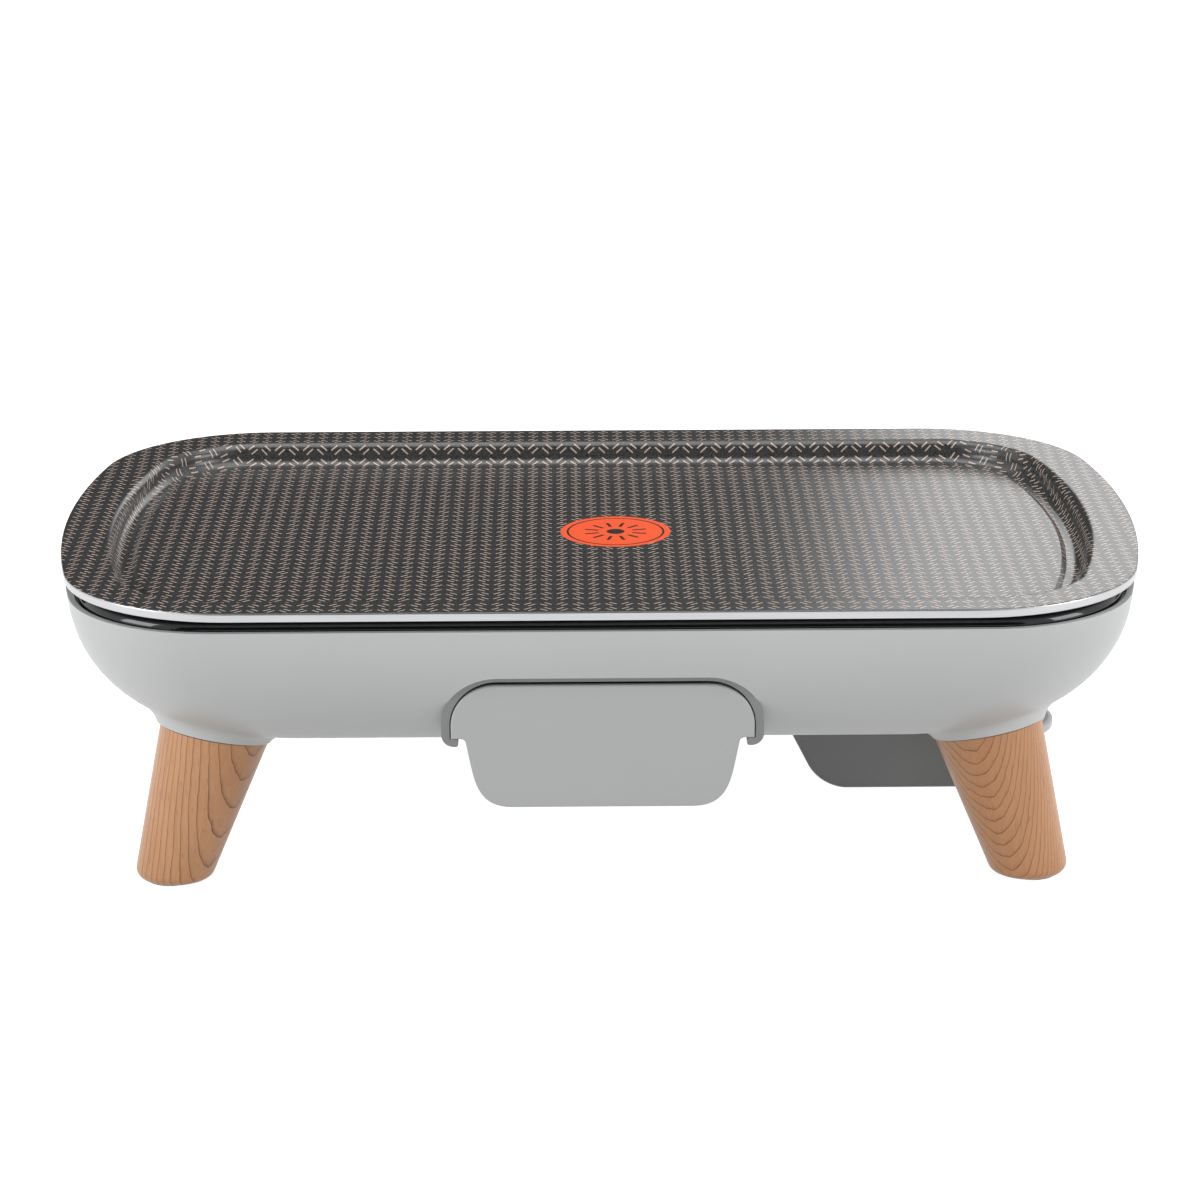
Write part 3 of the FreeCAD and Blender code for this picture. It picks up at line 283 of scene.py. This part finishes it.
zinc = bare_metal("zinc_plate", (0.62, 0.63, 0.64), (0.5, 0.51, 0.53), 0.34)
brass = bare_metal("turned_brass", (0.78, 0.58, 0.27), (0.66, 0.46, 0.2), 0.28)
for fastener in ("guide_screws", "tray_screws", "housing_screws", "leg_screws", "earth_stud"):
    dress(fastener, zinc)
dress("leg_inserts", brass)
dress("inlet_pins", brass)


# Legs. Solid beech, turned to a taper, cut square to the neck and level at the foot,
# sanded and clear matt lacquered; a felt pad is let into each foot.

in_millimetres = (1000, 1000, 1000)
leg_top = (190.4, 95.0, 75.5)
leg_splay = (math.tan(math.radians(17.0)), math.tan(math.radians(3.0)))
seam_slope = (math.tan(math.radians(11.3)), math.tan(math.radians(8.0)))
seam_shade_width = 0.8
pith_side_left = (-0.75, 0.66)
pith_side_right = (-0.5, 0.87)
pith_distance = 70.0
ring_tilt_left = 0.095
ring_tilt_right = 0.2
ring_tilt_height = 38.0
ring_pitch_left = 3.3
ring_pitch_right = 2.0
ring_sway = 8.0
ring_jitter = 1.1
pale_wood = (0.62, 0.325, 0.16)
deep_wood = (0.46, 0.205, 0.08)
late_wood = (0.19, 0.06, 0.022)
pore_and_seam_shade = (0.1, 0.05, 0.025)

beech = Finish("lacquered_beech")
x, y, z = beech.axes(beech.place(in_millimetres))
at_right = x > 0.0
drop = leg_top[2] - z
across = abs(x) - leg_top[0]
depth = abs(y) - leg_top[1]
below_seam = across * seam_slope[0] + depth * seam_slope[1] + drop
pith_x = at_right * (pith_side_right[0] - pith_side_left[0]) + pith_side_left[0]
pith_y = at_right * (pith_side_right[1] - pith_side_left[1]) + pith_side_left[1]
toward_pith = (across - drop * leg_splay[0]) * pith_x + (depth - drop * leg_splay[1]) * pith_y
ring_tilt = at_right * (ring_tilt_right - ring_tilt_left) + ring_tilt_left
ring_pitch = ring_pitch_left - at_right * (ring_pitch_left - ring_pitch_right)
sway = beech.noise(17.0, 2.0, (1, 1, 0.4)) * ring_sway
jitter = beech.noise(190.0, 2.0, (1, 1, 0.5)) * ring_jitter
radius = pith_distance - toward_pith - (z - ring_tilt_height) * ring_tilt + sway + jitter
ring = (radius / ring_pitch) % 1.0
late_line = (ring ** 15.0) * 1.1
late_fade = (ring ** 3.0) * 0.2
late = late_line + late_fade
cloud = beech.noise(30.0, 2.0, (1, 1, 0.12))
fibre = beech.noise(620.0, 3.0, (1, 1, 0.045), 0.62)
pores = ((beech.noise(1500.0, 1.0, (1, 1, 0.09)) - 0.63) * 9.0).clipped()
plank = beech.blend(((cloud - 0.5) * 1.6 + 0.5).clipped(), pale_wood, deep_wood)
plank = beech.blend((late + (fibre - 0.5) * 0.55).clipped(), plank, late_wood)
# Pores darken to this colour, and so does a band just under the seam with the neck, which is painted shade
# of the gap there.
plank = beech.blend((pores * 0.3 + (below_seam < seam_shade_width) * 0.85).clipped(), plank, pore_and_seam_shade)
lacquer_sheen = fibre * 0.1 + 0.36
beech.surface({"Base Color": plank, "Roughness": lacquer_sheen,
               "Normal": beech.bump(fibre + late * 0.6, 0.00006, 0.35),
               "Coat Weight": 0.12, "Coat Roughness": 0.3})
felt = Finish("pressed_felt")
fuzz = felt.noise(1400.0, 4.0, roughness=0.7)
felt.surface({"Base Color": felt.blend(fuzz, (0.09, 0.088, 0.085), (0.2, 0.195, 0.19)),
              "Roughness": 0.95, "Normal": felt.bump(fuzz, 0.0004, 0.8)})
for place in ("front_left", "front_right", "rear_left", "rear_right"):
    dress("leg_" + place, beech.material)
dress("foot_pads", felt.material)


# Drip tray. Pressed steel with a glossy black vitreous enamel, its rolled bead standing
# in the gap under the plate; the drain funnel is a plain drawn steel tube.

enamel = Finish("black_enamel")
peel = enamel.noise(240.0, 2.0)
speck = enamel.noise(2400.0, 1.0)
enamel.surface({"Base Color": enamel.blend((speck - 0.62).clipped() * 2.0, (0.006, 0.0065, 0.008),
                                           (0.05, 0.05, 0.055)),
                "Roughness": peel * 0.08 + 0.06, "Specular IOR Level": 0.5,
                "Normal": enamel.bump(peel, 0.00006, 0.25)})
dress("drip_tray", enamel.material)
drawn_steel = bare_metal("drawn_steel", (0.6, 0.6, 0.59), (0.48, 0.48, 0.48), 0.3, (1, 1, 0.06))
dress("drain_funnel", drawn_steel)


# Heating element. Steel tube, blued and dulled by heat, clipped over folded brackets;
# ceramic bushes round its tails and four steel posts that carry the plate.

tube_steel = Finish("heat_dulled_steel")
heat = tube_steel.noise(34.0, 4.0)
scale_marks = tube_steel.noise(900.0, 3.0)
tube_steel.surface({"Base Color": tube_steel.blend(heat, (0.16, 0.145, 0.14), (0.3, 0.265, 0.235)),
                    "Metallic": 0.85, "Roughness": scale_marks * 0.2 + 0.38,
                    "Normal": tube_steel.bump(scale_marks, 0.00004, 0.4)})
dress("heating_element", tube_steel.material)
rolled_steel = bare_metal("rolled_steel", (0.66, 0.66, 0.65), (0.54, 0.54, 0.54), 0.36, (0.08, 1, 1))
for part in ("element_brackets", "plate_supports", "terminal_pins", "thermostat_bracket"):
    dress(part, rolled_steel)
fired_clay = Finish("steatite")
clay_grain = fired_clay.noise(1300.0, 3.0)
fired_clay.surface({"Base Color": fired_clay.blend(clay_grain, (0.74, 0.7, 0.62), (0.62, 0.58, 0.5)),
                    "Roughness": 0.6, "Normal": fired_clay.bump(clay_grain, 0.00006, 0.5)})
dress("terminal_bushes", fired_clay.material)


# Wiring. Three mains cores in silicone insulation, brown, blue and green, a link to the element,
# and a thermal fuse in its sleeve.

def insulation(name, colour):
    """Slightly waxy core insulation with faint drag lines."""
    finish = Finish(name)
    drag = finish.noise(1100.0, 2.0)
    worn = tuple(part * 0.72 + 0.02 for part in colour)
    return finish.surface({"Base Color": finish.blend(drag, colour, worn), "Roughness": drag * 0.12 + 0.4,
                           "Normal": finish.bump(drag, 0.00003, 0.4)})


brown_core = insulation("brown_core", (0.17, 0.075, 0.035))
for lead in ("live_lead", "element_lead"):
    dress(lead, brown_core)
blue_core = insulation("blue_core", (0.05, 0.13, 0.42))
for lead in ("neutral_lead", "fuse_lead"):
    dress(lead, blue_core)
dress("earth_lead", insulation("green_core", (0.1, 0.33, 0.06)))
dress("thermal_fuse", fired_clay.material)


# Control housing. A boat-shaped grey cover, coloured darker than the body as painted shade from the bowl
# above, screwed up from below, with the thermostat, its dial, the power inlet and the indicator lamp.

housing_plastic_painted_shade = moulded_plastic("housing_plastic_painted_shade", (0.2, 0.204, 0.204), (0.18, 0.184, 0.184), 0.44)
dress("control_housing", housing_plastic_painted_shade)
black_plastic = moulded_plastic("black_plastic", (0.018, 0.018, 0.019), (0.028, 0.028, 0.029), 0.4)
dress("thermostat", black_plastic)
dress("power_inlet", black_plastic)
dress("dial_spindle", zinc)

dial_centre = (203.0, 4.0)
dial_top = 47.5
face_skin = 0.3
face_radius = 29.8
scale_radius = 27.0
scale_start = -2.2
scale_end = 2.0
scale_narrow = 0.4
scale_widening = 1.5
scale_growth = 0.55
off_bearing = 2.55
off_half_length = 0.8
off_half_turn = 0.03

dial = Finish("dial_plastic")
x, y, z = dial.axes(dial.place(in_millimetres))
x, y = x - dial_centre[0], y - dial_centre[1]
from_centre = (x * x + y * y) ** 0.5
bearing = y.maths("ARCTAN2", y, x)
top_face = (z > dial_top - face_skin) * (from_centre < face_radius)
from_scale = abs(from_centre - scale_radius)
wedge_width = ((bearing - scale_start) * scale_growth).clipped() * scale_widening + scale_narrow
wedge = (from_scale < wedge_width * 0.5) * (bearing > scale_start) * (bearing < scale_end)
off_mark = (from_scale < off_half_length) * (abs(bearing - off_bearing) < off_half_turn)
marks = (wedge + off_mark).clipped() * top_face
dial_grain = dial.noise(2200.0, 1.0)
# The top face is a darker grey than the rim: painted shade from the body above it.
face = dial.blend(top_face, (0.5, 0.505, 0.5), (0.27, 0.275, 0.275))
dial.surface({"Base Color": dial.blend(marks, face, (0.8, 0.8, 0.79)), "Roughness": dial_grain * 0.1 + 0.36,
              "Normal": dial.bump(dial_grain, 0.00004, 0.35)})
dress("control_dial", dial.material)

lamp_lens = Finish("red_lamp_lens")
ripple = lamp_lens.noise(900.0, 1.0)
lamp_lens.surface({"Base Color": lamp_lens.blend(ripple, (0.55, 0.03, 0.015), (0.4, 0.02, 0.01)),
                   "Roughness": ripple * 0.06 + 0.08, "Transmission Weight": 0.35, "IOR": 1.49,
                   "Normal": lamp_lens.bump(ripple, 0.00003, 0.3)})
dress("indicator_lamp", lamp_lens.material)


# Cooking plate. Cast aluminium: bare and finely brushed round the edge and below, and above it
# a black non-stick coating, speckled and printed with a herringbone of short pale dashes.

plate_corner_x = 176.94
plate_corner_y = 84.5
bare_reach = 78.0
bare_tilt = 0.72
underside_tilt = -0.15
floor_low = 148.0
floor_high = 149.0
basin_low = 147.0
lip_rise = 11.0
print_slip = 6.3
column_pitch = 7.65
row_pitch = 7.75
column_start = 0.969
row_start = 0.531
dash_angle = math.radians(41.5)
dash_half = 2.2
dash_from_middle = 1.45
dash_thick = 0.72
dash_soft_edge = 0.12
spot_centre = (8.5, 0.0)
spot_radius = 28.0
ray_count = 12.0
ray_middle = 12.5
ray_half_length = 3.6
ray_fill = 0.26
circle_radius = 24.4
circle_half_width = 0.55
hub_radius = 4.6

plate = Finish("coated_plate")
x, y, z = plate.axes(plate.place(in_millimetres))
normal = plate.axes(plate.node("ShaderNodeTexCoord", {}, {}, "Normal"))[2]
out_x = (abs(x) - plate_corner_x).most(0.0)
out_y = (abs(y) - plate_corner_y).most(0.0)
reach = (out_x * out_x + out_y * out_y + 0.0001) ** 0.5
# Bare metal is the rim's outer slope and all that faces down; the tilts are upright shares
# of the surface's normal.
bare = ((reach > bare_reach) * (normal < bare_tilt) + (normal < underside_tilt)).clipped()

# On the basin's wall the print is drawn outward, so that its rows climb the slope.
risen = ((z - basin_low) / lip_rise).clipped()
climb = risen * risen * (3.0 - risen * 2.0) * print_slip
print_x = x + x.maths("SIGN", x) * out_x / reach * climb
print_y = y + y.maths("SIGN", y) * out_y / reach * climb
column = print_x / column_pitch + column_start
row = print_y / row_pitch + row_start
lean = 1.0 - (column.maths("FLOOR", column) % 2.0) * 2.0
cell_x = (column % 1.0 - 0.5) * column_pitch * lean
cell_y = (row % 1.0 - 0.5) * row_pitch
along = cell_x * math.cos(dash_angle) + cell_y * math.sin(dash_angle)
beside = cell_y * math.cos(dash_angle) - cell_x * math.sin(dash_angle)
outside = (abs(along) - dash_half).most(abs(abs(beside) - dash_from_middle) - dash_thick / 2)
dash = (0.5 - outside / dash_soft_edge).clipped()

spot_x, spot_y = x - spot_centre[0], y - spot_centre[1]
from_spot = (spot_x * spot_x + spot_y * spot_y) ** 0.5
turn = spot_y.maths("ARCTAN2", spot_y, spot_x)
spot = (from_spot < spot_radius) * (z < floor_high) * (z > floor_low)
off_ray = abs((turn / (2 * math.pi) * ray_count) % 1.0 - 0.5) * from_spot
ray = (abs(from_spot - ray_middle) < ray_half_length) * (off_ray < ray_fill * ray_middle * 0.5)
circle_and_hub = (abs(from_spot - circle_radius) < circle_half_width).most(from_spot < hub_radius)
motif = ray.most(circle_and_hub)

pepper = plate.noise(1500.0, 2.0, roughness=0.6)
speckle = ((pepper - 0.5) * 3.2 + 0.5).clipped()
black = plate.blend(speckle, (0.012, 0.012, 0.0125), (0.066, 0.066, 0.066))
orange = plate.blend(pepper, (0.93, 0.13, 0.045), (0.82, 0.1, 0.034))
coat = plate.blend(dash, black, (0.5, 0.385, 0.325))
coat = plate.blend(spot, coat, plate.blend(motif, orange, (0.03, 0.028, 0.028)))
streaks = plate.noise(1.0, 4.0, (26, 26, 5200))
cast = plate.noise(420.0, 3.0)
aluminium = plate.blend(streaks, (0.55, 0.55, 0.56), (0.4, 0.405, 0.415))
plate.surface({"Base Color": plate.blend(bare, coat, aluminium), "Metallic": bare,
               "Roughness": bare * (streaks * 0.3 + 0.18) + (1.0 - bare) * (pepper * 0.12 + 0.19),
               "Normal": plate.bump(pepper * (1.0 - bare) + cast * bare * 0.5, 0.00006, 0.35)})
dress("grill_plate", plate.material)


# Drip drawer. An open box that catches the fat, moulded in a slightly darker, greener grey
# than the body; its stepped sides hang in the guide, and it slides out to the front.

drawer_plastic = moulded_plastic("drawer_plastic", (0.475, 0.492, 0.484), (0.44, 0.456, 0.448), 0.4)
dress("drip_drawer", drawer_plastic)
